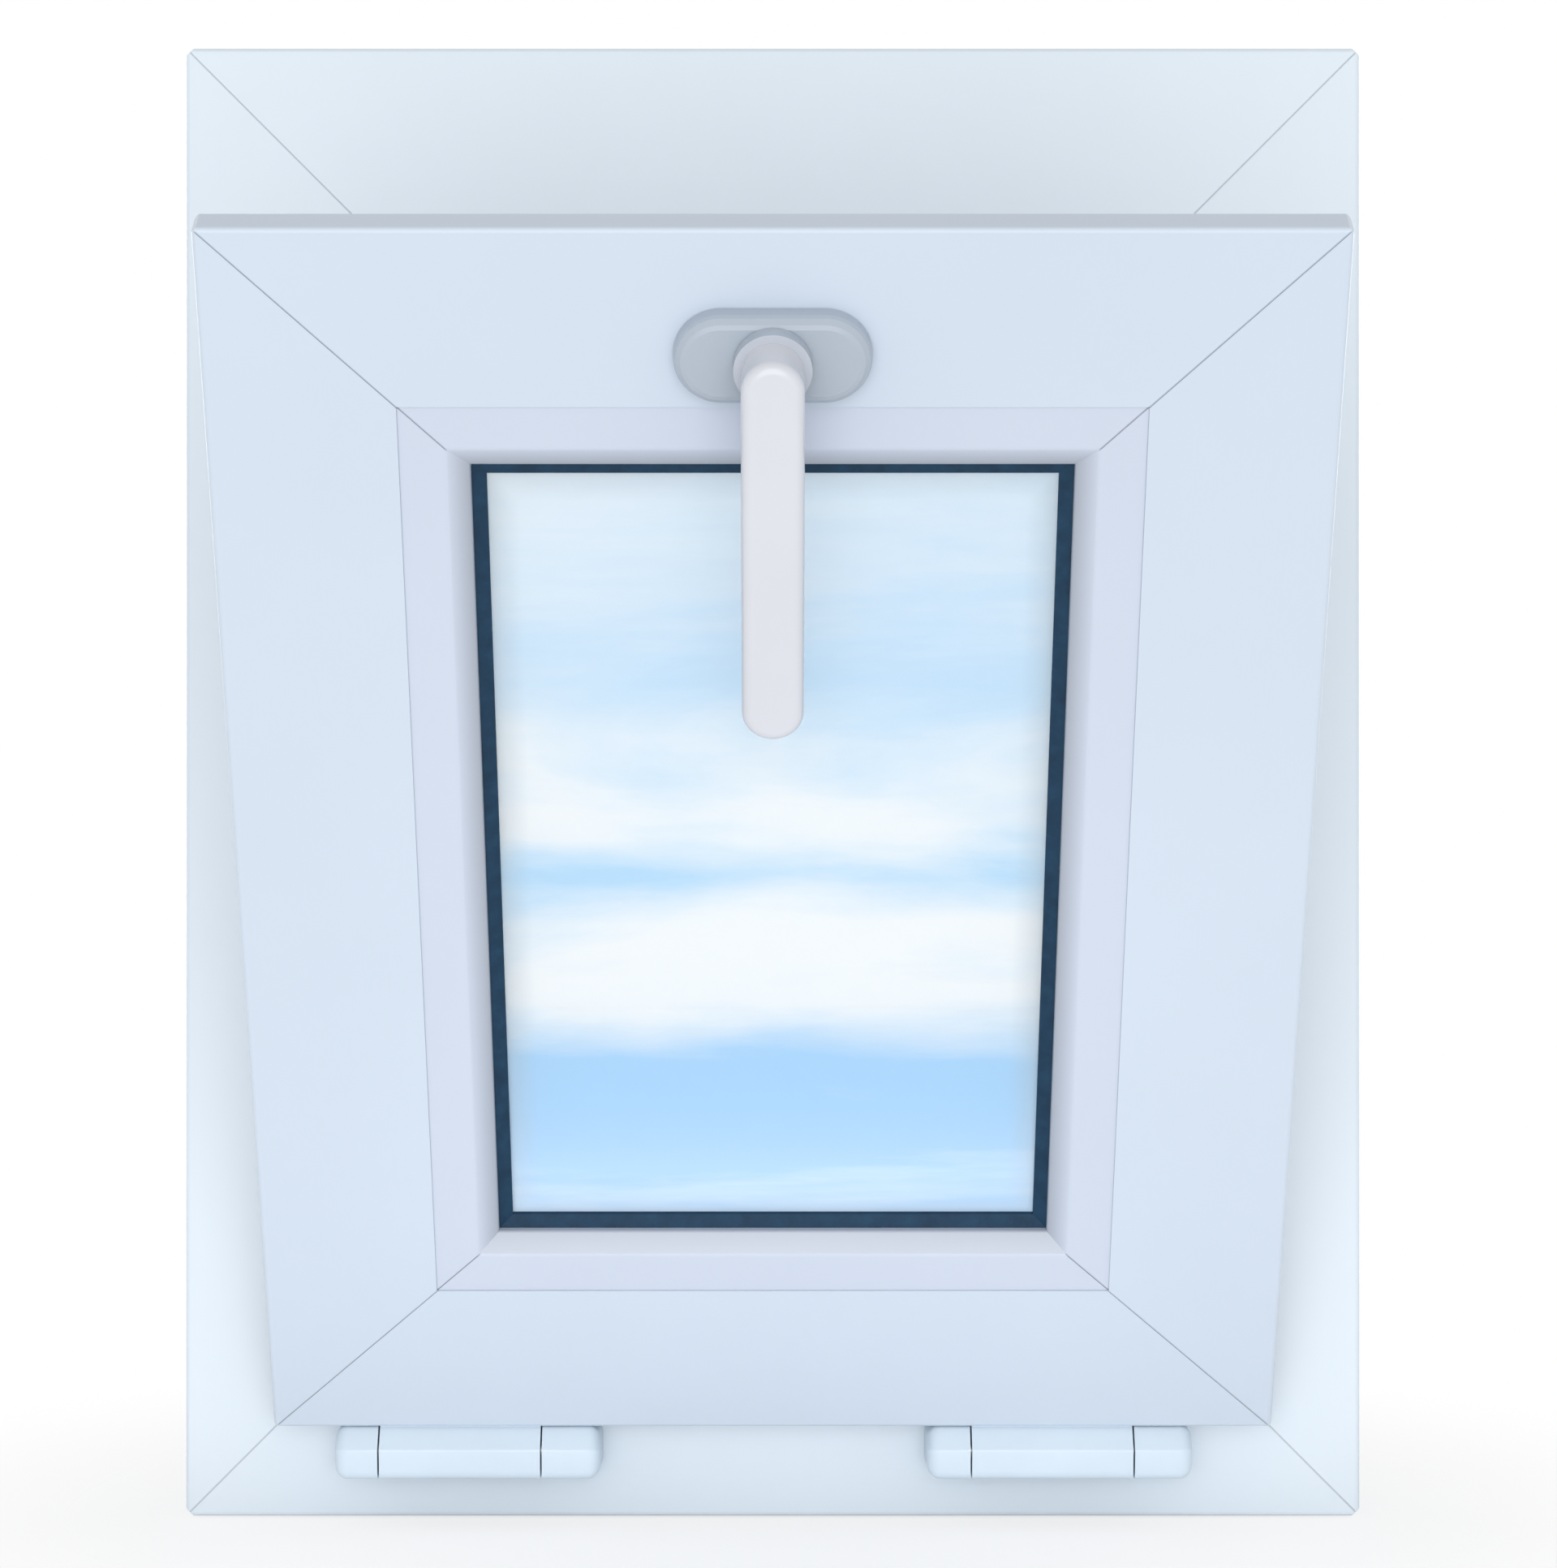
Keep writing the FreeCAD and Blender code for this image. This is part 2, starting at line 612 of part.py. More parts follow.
def hinge(name, centre):
    """One hinge. Along its barrel the knuckle is centred, and after a gap a cap follows on each side."""
    inner_end = "(knuckle_length / 2 + knuckle_gap)"
    barrel_length = f"2 * {inner_end} + cap_short + cap_long"
    barrel_middle = "(cap_long - cap_short) / 2"
    bore = "pin_radius + pin_clearance"
    caps = new_body(f"{name}_frame_leaf")
    plate = new_sketch(caps, "plate", "YZ_Plane", barrel_middle)
    near = "hinge_standoff - hinge_plate"
    draw_outline(
        plate,
        [
            (near, "-knuckle_radius"),
            ("hinge_standoff", "-knuckle_radius"),
            ("hinge_standoff", "knuckle_radius"),
            (near, "knuckle_radius"),
        ],
    )
    pad(caps, plate, barrel_length)
    for sign, cap in ((-1, "cap_short"), (1, "cap_long")):
        start = inner_end if sign > 0 else f"-{inner_end} - {cap}"
        section = new_sketch(caps, f"cap_{cap}", "YZ_Plane", start)
        draw_outline(section, cap_outline)
        pad(caps, section, cap, "One side")
    hole = new_sketch(caps, "bore", "YZ_Plane", barrel_middle)
    draw_circle(hole, ("0", "0"), bore)
    pocket(caps, hole, f"{barrel_length} - 2 * pin_cover")
    low_end = -worth(f"{inner_end} + cap_short")
    high_end = worth(f"{inner_end} + cap_long")

    off_plate = worth("hinge_standoff - hinge_plate / 2")

    def outer_rim(edge):
        box = edge.BoundBox
        at_end = min(abs(box.XMin - low_end), abs(box.XMin - high_end)) < TINY
        return box.XLength < TINY and at_end and box.YMin < off_plate

    dress(caps, "Chamfer", {"Size": "cap_bevel"}, outer_rim)
    place(caps, centre, AXIS_Y, AXIS_Z)

    knuckle = new_body(f"{name}_sash_knuckle")
    barrel = new_sketch(knuckle, "barrel", "YZ_Plane")
    draw_outline(barrel, knuckle_outline)
    pad(knuckle, barrel, "knuckle_length")
    # The flange stands square to the sash lip, so it leans with the tilt.
    flange = new_sketch(knuckle, "flange", "YZ_Plane")
    near = f"({SASH_FACE} + edge_radius)"
    far = f"{near} + flange_width"
    corners = [(far, "0"), (far, "hinge_drop"), (near, "hinge_drop"), (near, "0")]
    draw_outline(flange, [tilted(y, z) for y, z in corners])
    pad(knuckle, flange, "knuckle_length")
    hole = new_sketch(knuckle, "bore", "YZ_Plane")
    draw_circle(hole, ("0", "0"), bore)
    pocket(knuckle, hole)
    place(knuckle, centre, AXIS_Y, AXIS_Z)

    pin = new_body(f"{name}_pin")
    round_bar = new_sketch(pin, "section", "YZ_Plane", barrel_middle)
    draw_circle(round_bar, ("0", "0"), "pin_radius")
    pad(pin, round_bar, f"{barrel_length} - 2 * (pin_cover + pin_clearance)")
    place(pin, centre, AXIS_Y, AXIS_Z)


hinge("hinge_left", f"hinge_shift - ({SASH_HALF} - hinge_setback)")
hinge("hinge_right", f"hinge_shift + ({SASH_HALF} - hinge_setback)")

# Handle on the top rail: a rounded rose, and a lever on a neck that turns in it.
rose = new_body("handle_rose")
plan = new_sketch(rose, "plan", "XZ_Plane", f"-({SASH_FACE})")
rose_end = "(rose_width - rose_height) / 2"
draw_slot(plan, (f"-{rose_end}", HANDLE_Z), (rose_end, HANDLE_Z), "rose_height / 2")
pad(rose, plan, "rose_thick", "One side")
rose_front = worth(f"{SASH_FACE} - rose_thick")
dress(rose, "Chamfer", {"Size": "rose_bevel"}, lambda edge: edge.BoundBox.YMax < rose_front + TINY)
rose_rim = worth(f"{SASH_FACE} - rose_thick + rose_bevel")
dress(
    rose,
    "Chamfer",
    {"Size": "rose_soft"},
    lambda edge: edge.BoundBox.YLength < TINY and edge.BoundBox.YMax < rose_rim + TINY,
)
seat = new_sketch(rose, "seat", "XZ_Plane", f"-({SASH_FACE}) + rose_thick")
draw_circle(seat, ("0", HANDLE_Z), "boss_radius + pin_clearance")
pocket(rose, seat, "boss_depth + collar_gap", "One side")
hang_on_sash(rose)

lever = new_body("handle_lever")
profile = new_sketch(lever, "profile", "YZ_Plane")
LEVER_TOP = f"({HANDLE_Z} + lever_width / 2)"
LEVER_LOW = f"({HANDLE_Z} - lever_length)"
BEND_Z = f"({HANDLE_Z} - lever_bend)"
draw_outline(
    profile,
    [
        (f"{SASH_FACE} - lever_rise", LEVER_TOP),
        (f"{SASH_FACE} - lever_crest", BEND_Z, "lever_bow"),
        (f"{SASH_FACE} - lever_tip", LEVER_LOW),
        (f"{SASH_FACE} - lever_tip - lever_thick", LEVER_LOW),
        (f"{SASH_FACE} - lever_crest - lever_thick", BEND_Z, "lever_bow"),
        (f"{SASH_FACE} - lever_rise - lever_thick", LEVER_TOP),
    ],
)
pad(lever, profile, "lever_width")
plan = new_sketch(lever, "plan", "XZ_Plane")
lever_half = "lever_width / 2"
draw_slot(plan, ("0", f"{LEVER_LOW} + {lever_half}"), ("0", HANDLE_Z), lever_half)
left, right = f"-({lever_half} + {MARGIN})", f"{lever_half} + {MARGIN}"
below, above = f"{LEVER_LOW} - {MARGIN}", f"{LEVER_TOP} + {MARGIN}"
draw_outline(plan, [(left, below), (right, below), (right, above), (left, above)])
pocket(lever, plan)
lever_middle = worth(f"{SASH_FACE} - (lever_crest + lever_tip + lever_thick) / 2")
dress(lever, "Fillet", {"Radius": "lever_soft"}, lambda edge: edge.BoundBox.YMax < lever_middle)
COLLAR_BASE = f"-({SASH_FACE}) + rose_thick + collar_gap"
collar = new_sketch(lever, "collar", "XZ_Plane", COLLAR_BASE)
draw_circle(collar, ("0", HANDLE_Z), "collar_radius")
pad(lever, collar, "collar_thick", "One side")
neck = new_sketch(lever, "neck", "XZ_Plane", COLLAR_BASE)
draw_circle(neck, ("0", HANDLE_Z), "lever_width / 2 - neck_setback")
pad(lever, neck, "lever_rise - rose_thick - collar_gap + lever_thick / 2", "One side")
boss = new_sketch(lever, "boss", "XZ_Plane", COLLAR_BASE)
draw_circle(boss, ("0", HANDLE_Z), "boss_radius")
pad(lever, boss, "boss_depth", "One side", True)
hang_on_sash(lever)

# Lock along the top edge: a faceplate over the groove, two cams, and strikers under the frame head.
faceplate = new_body("lock_faceplate")
plan = new_sketch(faceplate, "plan", "XY_Plane", RAIL_EDGE)
plate_end = f"({SASH_HALF} - {LIP_LENGTH} - faceplate_setback - faceplate_width / 2)"
draw_slot(plan, (f"-{plate_end}", GROOVE_Y), (plate_end, GROOVE_Y), "faceplate_width / 2")
pad(faceplate, plan, "faceplate_thick", "One side")
hang_on_sash(faceplate)
STRIKER_END = f"({JAMB_X} - striker_setback - striker_length)"
for name, sign in (("left", "-"), ("right", "")):
    cam = new_body(f"lock_cam_{name}")
    disc = new_sketch(cam, "disc", "XY_Plane", f"{RAIL_EDGE} + faceplate_thick")
    draw_circle(disc, (f"{sign}({STRIKER_END} - cam_travel)", GROOVE_Y), "cam_radius")
    pad(cam, disc, "cam_height", "One side")
    hang_on_sash(cam)
    # An angle whose wall keeps the cam from coming into the room.
    striker = new_body(f"striker_{name}")
    angle = new_sketch(striker, "section", "YZ_Plane", f"{sign}({STRIKER_END} + striker_length / 2)")
    wall = f"({CLOSED_GROOVE_Y} - cam_radius - cam_clearance)"
    near, far = f"({wall} - striker_wall)", f"({wall} - striker_wall + striker_width)"
    draw_outline(
        angle,
        [
            (near, HEAD_FACE),
            (near, f"{HEAD_FACE} - striker_thick"),
            (wall, f"{HEAD_FACE} - striker_thick"),
            (wall, f"{HEAD_FACE} - striker_base"),
            (far, f"{HEAD_FACE} - striker_base"),
            (far, HEAD_FACE),
        ],
    )
    pad(striker, angle, "striker_length")

# Stay arms: each turns on a pin at the jamb, and its stud runs in the groove of the sash stile.
PIVOT_Z = f"({AXIS_Z} + stay_height)"
ARM_X = f"({JAMB_X} - rebate_gap / 2)"
GROOVE_FLOOR = f"({JAMB_X} - rebate_gap - groove_depth)"
# How far the stud's line, the tilted groove, stands off the pivot, and so how far the arm leans.
STUD_OFFSET = f"(stay_height * sin(tilt * 1 deg) - {GROOVE_Y} * (1 - cos(tilt * 1 deg)))"
STAY_ANGLE = f"tilt + asin({STUD_OFFSET} / stay_length) / 1 deg"
SHANK_LENGTH = "rebate_gap / 2 + stay_thick / 2 + pin_clearance + stay_head_thick / 2"
HEAD_SEAT = f"({ARM_X} - stay_thick / 2 - pin_clearance)"
for name, sign in (("left", -1), ("right", 1)):
    # From the left jamb, the opening lies towards +X.
    opens_right = sign < 0
    bracket = new_body(f"stay_bracket_{name}")
    plate = new_sketch(bracket, "plate", "YZ_Plane", f"{sign} * {JAMB_X}")
    reach = "(stay_bracket_length - stay_bracket_width) / 2"
    draw_slot(plate, ("0", f"-{reach}"), ("0", reach), "stay_bracket_width / 2")
    pad(bracket, plate, "stay_bracket_thick", "One side", not opens_right)
    shank = new_sketch(bracket, "shank", "YZ_Plane", f"{sign} * {JAMB_X}")
    draw_circle(shank, ("0", "0"), "stay_pin_radius")
    pad(bracket, shank, SHANK_LENGTH, "One side", not opens_right)
    head = new_sketch(bracket, "head", "YZ_Plane", f"{sign} * {HEAD_SEAT}")
    draw_circle(head, ("0", "0"), "stay_head_radius")
    pad(bracket, head, "stay_head_thick", "One side", not opens_right)
    place(bracket, "0", CLOSED_GROOVE_Y, PIVOT_Z)

    arm = new_body(f"stay_arm_{name}")
    blade = new_sketch(arm, "blade", "YZ_Plane", f"{sign} * {ARM_X}")
    draw_slot(blade, ("0", "0"), ("0", "stay_length"), "stay_width / 2")
    pad(arm, blade, "stay_thick")
    stud = new_sketch(arm, "stud", "YZ_Plane", f"{sign} * ({GROOVE_FLOOR} + stay_stud_gap)")
    draw_circle(stud, ("0", "stay_length"), "stay_stud_radius")
    pad(arm, stud, f"{ARM_X} - {GROOVE_FLOOR} - stay_stud_gap", "One side", opens_right)
    hole = new_sketch(arm, "pivot", "YZ_Plane", f"{sign} * {ARM_X}")
    draw_circle(hole, ("0", "0"), "stay_pin_radius + pin_clearance")
    pocket(arm, hole)
    lean(arm, STAY_ANGLE)
    place(arm, "0", CLOSED_GROOVE_Y, PIVOT_Z)

doc.recompute()
faulty = [item.Name for item in doc.Objects if {"Invalid", "Error"} & set(item.State)]
if faulty:
    raise RuntimeError(f"these objects failed: {faulty}")
for body in sub_parts:
    if body.Shape.isNull() or not body.Shape.isValid() or not body.Shape.Solids:
        raise RuntimeError(f"{body.Label} has no sound shape")

os.makedirs("parts", exist_ok=True)
for body in sub_parts:
    body.Shape.exportStep(f"parts/{body.Label}.step")
print("stay turns through", round(worth(STAY_ANGLE), 3), "degrees")
print(len(sub_parts), "sub-parts")
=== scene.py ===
import math

import bmesh
import bpy
from mathutils import Matrix, Vector


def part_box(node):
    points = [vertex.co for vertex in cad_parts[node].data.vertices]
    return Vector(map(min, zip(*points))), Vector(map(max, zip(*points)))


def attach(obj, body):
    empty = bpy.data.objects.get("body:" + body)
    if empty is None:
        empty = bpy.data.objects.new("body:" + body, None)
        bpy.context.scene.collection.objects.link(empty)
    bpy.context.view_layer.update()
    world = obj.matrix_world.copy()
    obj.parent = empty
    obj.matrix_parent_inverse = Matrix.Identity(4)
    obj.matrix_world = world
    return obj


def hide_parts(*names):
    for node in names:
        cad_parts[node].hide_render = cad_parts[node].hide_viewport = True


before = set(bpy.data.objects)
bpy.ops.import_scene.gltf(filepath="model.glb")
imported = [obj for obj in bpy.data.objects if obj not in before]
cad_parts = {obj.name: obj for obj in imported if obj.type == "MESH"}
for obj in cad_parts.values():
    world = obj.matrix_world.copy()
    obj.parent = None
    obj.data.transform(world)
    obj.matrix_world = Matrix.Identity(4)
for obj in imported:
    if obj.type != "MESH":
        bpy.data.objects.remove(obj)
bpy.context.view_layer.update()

# Finishes, small trim and stage of a hopper window, in metres unless a comment says millimetres.
# X runs along the sill, +Y points outdoors and +Z up.

MM = 0.001
# The sash hangs from its hinge axis, tilted into the room, and its own frame starts on that axis.
TILT = math.radians(30)
LEAN = Matrix.Rotation(TILT, 3, "X")
HINGE_AXIS = Vector((0, -46, 24.9)) * MM
# The hinge axis as it is read by a finish that leans with the sash.
LEANING_AXIS = LEAN.transposed() @ HINGE_AXIS


def on_sash(x, y, z):
    """A point of the sash's own frame, in millimetres, where the sash hangs at rest."""
    return HINGE_AXIS + LEAN @ (Vector((x, y, z)) * MM)


def depth_span(start, end):
    """Two depths of the sash's own frame, in millimetres, as a leaning finish reads them."""
    return LEANING_AXIS.y + start * MM, LEANING_AXIS.y + end * MM


def height_span(start, end):
    """Two heights of the sash's own frame, in millimetres, as a leaning finish reads them."""
    return LEANING_AXIS.z + start * MM, LEANING_AXIS.z + end * MM


class NodeTree:
    """A node tree that is built step by step."""

    def __init__(self, tree):
        self.tree = tree

    def feed(self, node, inputs):
        """Sets a node's open sockets, by name or by number, to values or to what other nodes give."""
        for label, value in inputs.items():
            if isinstance(label, int):
                socket = node.inputs[label]
            else:
                socket = next(s for s in node.inputs if s.enabled and s.name == label)
            for item in value if isinstance(value, list) else [value]:
                if isinstance(item, bpy.types.NodeSocket):
                    self.tree.links.new(item, socket)
                else:
                    socket.default_value = item

    def add(self, kind, inputs=None, **settings):
        """Adds a node and returns it."""
        node = self.tree.nodes.new(kind)
        for key, value in settings.items():
            setattr(node, key, value)
        self.feed(node, inputs or {})
        return node

    def step(self, kind, inputs=None, **settings):
        """Adds a node and returns its first open output."""
        node = self.add(kind, inputs, **settings)
        return next((s for s in node.outputs if s.enabled), None)

    def math(self, operation, *values):
        """One sum on one or two values."""
        return self.step("ShaderNodeMath", dict(enumerate(values)), operation=operation)


def shade(colour, factor):
    """A darker or lighter shade of a colour."""
    return tuple(min(1.0, channel * factor) for channel in colour)


class Finish(NodeTree):
    """A node material with a Principled surface, read in object coordinates."""

    SEAM_SAMPLES = 8
    SEAM_OPENING = ((0.25, 0), (0.75, 1))

    def __init__(self, name, leaning=False):
        self.material = bpy.data.materials.new(name)
        self.material.use_nodes = True
        super().__init__(self.material.node_tree)
        coords = self.add("ShaderNodeTexCoord")
        turn = (-TILT, 0, 0) if leaning else (0, 0, 0)
        self.space = self.step("ShaderNodeMapping", {"Vector": coords.outputs["Object"], "Rotation": turn})

    def along(self, axis):
        """One of the coordinates, by its letter."""
        return self.add("ShaderNodeSeparateXYZ", {"Vector": self.space}).outputs[axis]

    def noise(self, scale, detail=4.0, roughness=0.55, stretch=(1, 1, 1), swirl=0.0):
        """A cloudy factor, with the coordinates scaled along the three axes."""
        place = self.step("ShaderNodeVectorMath", {0: self.space, 1: stretch}, operation="MULTIPLY")
        sizes = {"Scale": scale, "Detail": detail, "Roughness": roughness, "Distortion": swirl}
        return self.add("ShaderNodeTexNoise", {"Vector": place, **sizes}).outputs["Fac"]

    def ramp(self, factor, *stops):
        """Colours at given places of a factor."""
        ramp = self.add("ShaderNodeValToRGB", {"Fac": factor})
        elements = ramp.color_ramp.elements
        while len(elements) < len(stops):
            elements.new(0.5)
        for element, (place, colour) in zip(elements, stops):
            element.position = place
            element.color = (*colour, 1)
        return ramp.outputs["Color"]

    def levels(self, factor, *stops):
        """Plain values at given places of a factor."""
        return self.ramp(factor, *((place, (level, level, level)) for place, level in stops))

    def mottle(self, factor, colour, dark, light, start=0.3, end=0.7):
        """A colour that goes from a darker to a lighter shade between two places of a factor."""
        return self.ramp(factor, (start, shade(colour, dark)), (end, shade(colour, light)))

    def between(self, value, start, end, low=0.0, high=1.0):
        """A value that goes from start to end, turned into one from low to high."""
        span = {"From Min": start, "From Max": end, "To Min": low, "To Max": high}
        return self.step("ShaderNodeMapRange", {"Value": value, **span})

    def spread(self, factor, low, high):
        """A factor from 0 to 1 turned into a value from low to high."""
        return self.between(factor, 0, 1, low, high)

    def mean(self, first, second, share=0.5):
        """Two factors in one, with the second's share."""
        return self.step("ShaderNodeMix", {"Factor": share, "A": first, "B": second})

    def blend(self, share, first, second):
        """First colour where the share is nought, second where it is one; each a colour or an output."""
        first, second = ((*c, 1) if isinstance(c, tuple) else c for c in (first, second))
        return self.step("ShaderNodeMix", {"Factor": share, "A": first, "B": second}, data_type="RGBA")

    def painted_seam_shade(self, colour, painted_shade, reach):
        """Painted shade: a colour that darkens by ambient occlusion where pieces meet, in corners and in
        scored lines.
        """
        corner = self.add("ShaderNodeAmbientOcclusion", {"Distance": reach}, samples=self.SEAM_SAMPLES)
        open_share = self.levels(corner.outputs["AO"], *self.SEAM_OPENING)
        return self.blend(open_share, painted_shade, colour)

    def relief(self, height, distance, strength):
        """A surface direction that follows a height."""
        return self.step("ShaderNodeBump", {"Height": height, "Distance": distance, "Strength": strength})

    def dress(self, **sockets):
        """Sets the surface's sockets to values or to what nodes give, and returns the material."""
        inputs = {name.replace("_", " "): value for name, value in sockets.items()}
        self.feed(self.tree.nodes["Principled BSDF"], inputs)
        return self.material


# Colours and sizes of the finishes.
FRAME_WHITE = (0.694, 0.768, 0.833)
SASH_WHITE = (0.588, 0.660, 0.753)
BEAD_WHITE = (0.572, 0.624, 0.725)
COVER_WHITE = (0.668, 0.765, 0.852)
ROSE_GREY = (0.414, 0.465, 0.535)
LEVER_WHITE = (0.645, 0.655, 0.700)
ZINC = (0.62, 0.63, 0.65)
ALUMINIUM = (0.74, 0.75, 0.76)
# From clean to dusty rubber, whose blue cast is a painted sky reflection, and from thin to full tint of
# glass, at places of their noise.
RUBBER_TONES = ((0.35, (0.004, 0.028, 0.062)), (0.72, (0.009, 0.046, 0.094)))
GLASS_TINTS = ((0.3, (0.965, 0.988, 0.998)), (0.7, (0.975, 0.992, 1.0)))
PLASTIC_IOR = 1.5

# Drawing lines of a profile are long along the member and fine across it.
DRAWN_ALONG = {"x": (0.03, 1, 1), "z": (1, 1, 0.03)}
BRUSHED_ALONG_X = (0.05, 1, 1)
# Painted shade in corners and seams of the profiles: how far it reaches and how dark it gets.
SEAM_REACH = 1.2 * MM
SEAM_SHADE = 0.55
# The bead falls from its flat to the gasket between these depths in millimetres, and painted shade darkens
# it on the way.
# The bottom one, which faces up, has painted shade on the whole of its slope.
BEAD_SLOPE = depth_span(0.79, 4.79)
SLOPE_SHADE = 0.6
SLOPE_SHADE_TO_GASKET = ((0, 0), (1, 1))
SLOPE_SHADE_ALL_OVER = ((0, 0), (0.06, 0.6), (1, 0.85))
# The collar's front, where the lever's coat changes, in millimetres.
COLLAR_FRONT = depth_span(-13.41, -13.21)

# The inner pane shows between these heights in millimetres. Other heights on it are shares of that.
PANE_HEIGHTS = height_span(71.44, 383.44)
# How cloudy the painted sky reflection is at each height, and the values between which sky turns into cloud.
CLOUD_COVER = (
    (0.06, 0.36),
    (0.13, 0.42),
    (0.24, 0.35),
    (0.34, 0.66),
    (0.42, 0.68),
    (0.475, 0.47),
    (0.54, 0.65),
    (0.63, 0.60),
    (0.70, 0.43),
    (0.82, 0.43),
    (0.96, 0.64),
)
CLOUD_EDGE = (0.455, 0.59)
COVER_SHARE = 0.45
WISP_SHARE = 0.22
# Colours of the painted sky reflection: the clouds' white, and the sky's blues by share of height.
CLOUD_WHITE = (0.95, 0.98, 1.0)
SKY_BLUES = (
    (0.04, (0.46, 0.64, 0.86)),
    (0.20, (0.46, 0.72, 0.98)),
    (0.50, (0.56, 0.80, 1.0)),
    (0.75, (0.66, 0.84, 1.0)),
    (0.95, (0.78, 0.90, 1.0)),
)
# Painted shade along the pane's edges: from where it starts to where it is full.
EDGE_SHADE_SIDES = (76 * MM, 87 * MM)
EDGE_SHADE_TOP = (0.90, 0.94)
EDGE_SHADE_BOTTOM = (0.085, 0.06)
EDGE_SHADE_GREY = (0.52, 0.60, 0.66)
EDGE_SHADE_WEIGHT = 0.55
# Towards the bottom the pane lets little light through, so the painted sky reflection shows there nearly
# opaque: heights, and how much light passes there.
CLEARING_HEIGHTS = (0.12, 0.32)
CLEARING = (0.03, 0.65)


def extruded_plastic(name, colour, along, leaning, slope=None):
    """White window profile: faint drawing lines along the member and a slightly uneven satin gloss.

    A bead has a slope, with shares of its depth and how far painted shade darkens it there.
    """
    finish = Finish(name, leaning)
    cloud = finish.noise(scale=9, detail=3)
    drawn = finish.noise(scale=700, detail=2, roughness=0.5, stretch=DRAWN_ALONG[along])
    white = finish.mottle(cloud, colour, dark=0.985, light=1.015)
    if slope:
        # Painted shade: the bead's slope darkens towards the gasket.
        fall = finish.between(finish.along("Y"), *BEAD_SLOPE)
        white = finish.blend(finish.levels(fall, *slope), white, shade(colour, SLOPE_SHADE))
    # Painted shade: ambient occlusion darkens the profile's colour where pieces meet and in corners.
    return finish.dress(
        Base_Color=finish.painted_seam_shade(white, shade(colour, SEAM_SHADE), SEAM_REACH),
        Roughness=finish.spread(finish.mean(cloud, drawn), low=0.26, high=0.40),
        Normal=finish.relief(drawn, distance=0.06 * MM, strength=0.35),
        Coat_Weight=0.12,
        Coat_Roughness=0.18,
        IOR=PLASTIC_IOR,
    )


def moulded_plastic(name, colour, leaning=False):
    """Injection-moulded cover: a fine pebbled skin."""
    finish = Finish(name, leaning)
    cloud = finish.noise(scale=30, detail=3)
    pebble = finish.noise(scale=2600, detail=2)
    return finish.dress(
        Base_Color=finish.mottle(cloud, colour, dark=0.975, light=1.02),
        Roughness=finish.spread(cloud, low=0.30, high=0.42),
        Normal=finish.relief(pebble, distance=0.05 * MM, strength=0.4),
        Coat_Weight=0.08,
        IOR=PLASTIC_IOR,
    )


def painted_lever(name, colour, collar_colour):
    """Powder-coated casting: slight orange peel under a satin coat, and a collar in the rose's colour."""
    finish = Finish(name, leaning=True)
    cloud = finish.noise(scale=24, detail=3)
    peel = finish.noise(scale=60, detail=1, roughness=0.4)
    coat = finish.mottle(cloud, colour, dark=0.98, light=1.01)
    on_collar = finish.between(finish.along("Y"), *COLLAR_FRONT)
    return finish.dress(
        Base_Color=finish.blend(on_collar, coat, collar_colour),
        Roughness=finish.spread(peel, low=0.25, high=0.28),
        Normal=finish.relief(peel, distance=0.01 * MM, strength=0.15),
        Coat_Weight=0.35,
        Coat_Roughness=0.12,
        IOR=PLASTIC_IOR,
    )


def dark_rubber(name):
    """Glazing rubber: black with a blue cast that is a painted sky reflection, dusty where it is rubbed."""
    finish = Finish(name, leaning=True)
    dust = finish.noise(scale=160, detail=5)
    skin = finish.noise(scale=2200, detail=2)
    return finish.dress(
        Base_Color=finish.ramp(dust, *RUBBER_TONES),
        Roughness=finish.spread(dust, low=0.42, high=0.62),
        Normal=finish.relief(skin, distance=0.08 * MM, strength=0.5),
        IOR=1.4,
        Specular_IOR_Level=0.35,
    )


def clear_glass(name):
    """Float glass with a breath of colour."""
    finish = Finish(name, leaning=True)
    wave = finish.noise(scale=6, detail=1)
    return finish.dress(
        Base_Color=finish.ramp(wave, *GLASS_TINTS),
        Transmission_Weight=1.0,
        Roughness=0.0,
        IOR=1.48,
    )


def sky_reflection_glass(name):
    """Inner pane with a painted reflection of blue sky and bands of cloud, clear enough to see through."""
    finish = Finish(name, leaning=True)
    rise = finish.between(finish.along("Z"), *PANE_HEIGHTS)
    bands = finish.noise(scale=8, detail=6, roughness=0.56, stretch=(0.5, 1, 2.0), swirl=0.5)
    wisps = finish.noise(scale=22, detail=5, roughness=0.6, stretch=(0.35, 1, 2.6), swirl=0.3)
    billows = finish.mean(bands, wisps, WISP_SHARE)
    clouds = finish.mean(billows, finish.levels(rise, *CLOUD_COVER), COVER_SHARE)
    sky = finish.ramp(rise, *SKY_BLUES)
    view = finish.blend(finish.between(clouds, *CLOUD_EDGE), sky, CLOUD_WHITE)
    # Painted shade darkens the pane towards its sides, top and bottom.
    across = finish.math("ABSOLUTE", finish.along("X"))
    edge_shade = finish.between(across, *EDGE_SHADE_SIDES)
    for edge in (EDGE_SHADE_TOP, EDGE_SHADE_BOTTOM):
        edge_shade = finish.math("MAXIMUM", edge_shade, finish.between(rise, *edge))
    return finish.dress(
        Base_Color=finish.blend(finish.math("MULTIPLY", edge_shade, EDGE_SHADE_WEIGHT), view, EDGE_SHADE_GREY),
        Transmission_Weight=finish.between(rise, *CLEARING_HEIGHTS, *CLEARING),
        Roughness=0.0,
        IOR=1.3,
    )


